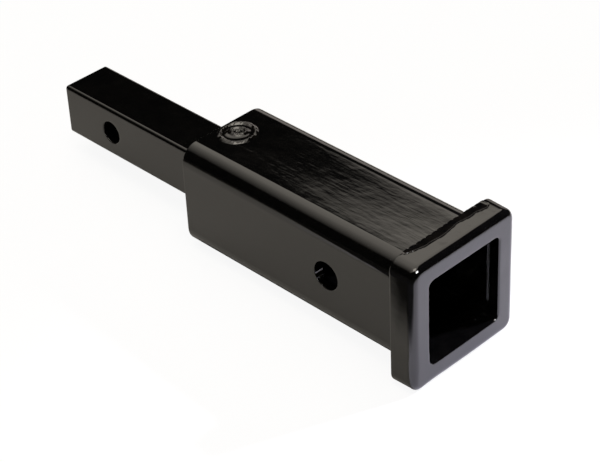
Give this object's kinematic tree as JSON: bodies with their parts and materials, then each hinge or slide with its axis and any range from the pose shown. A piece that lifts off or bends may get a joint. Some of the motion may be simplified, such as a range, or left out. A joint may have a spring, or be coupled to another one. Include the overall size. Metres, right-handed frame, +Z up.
{
  "type": "hitch receiver adapter",
  "caption": "Welded steel adapter that slides into a small square hitch receiver and gives a larger square receiver tube with a heavy mouth collar.",
  "frame": {"origin": "centreline of the receiver tube, on the axis of the tube's pin hole", "axes": "+X along the tube to its mouth, +Y along the pin holes, +Z up"},
  "size_m": [0.2975, 0.078, 0.078],
  "materials": {
    "gloss_paint": "gloss",
    "weld_paint": "gloss"
  },
  "bodies": {
    "root": {"shank_bar": "gloss_paint", "receiver_tube": "gloss_paint", "mouth_collar": "gloss_paint", "spacer_top": "gloss_paint", "spacer_left": "gloss_paint", "spacer_bottom": "gloss_paint", "spacer_right": "gloss_paint", "plug_weld_top": "weld_paint", "plug_weld_bottom": "weld_paint", "collar_weld_top": "weld_paint", "collar_weld_bottom": "weld_paint", "shank_weld_top": "weld_paint", "shank_weld_left": "weld_paint", "shank_weld_bottom": "weld_paint", "shank_weld_right": "weld_paint"}
  },
  "joints": []
}
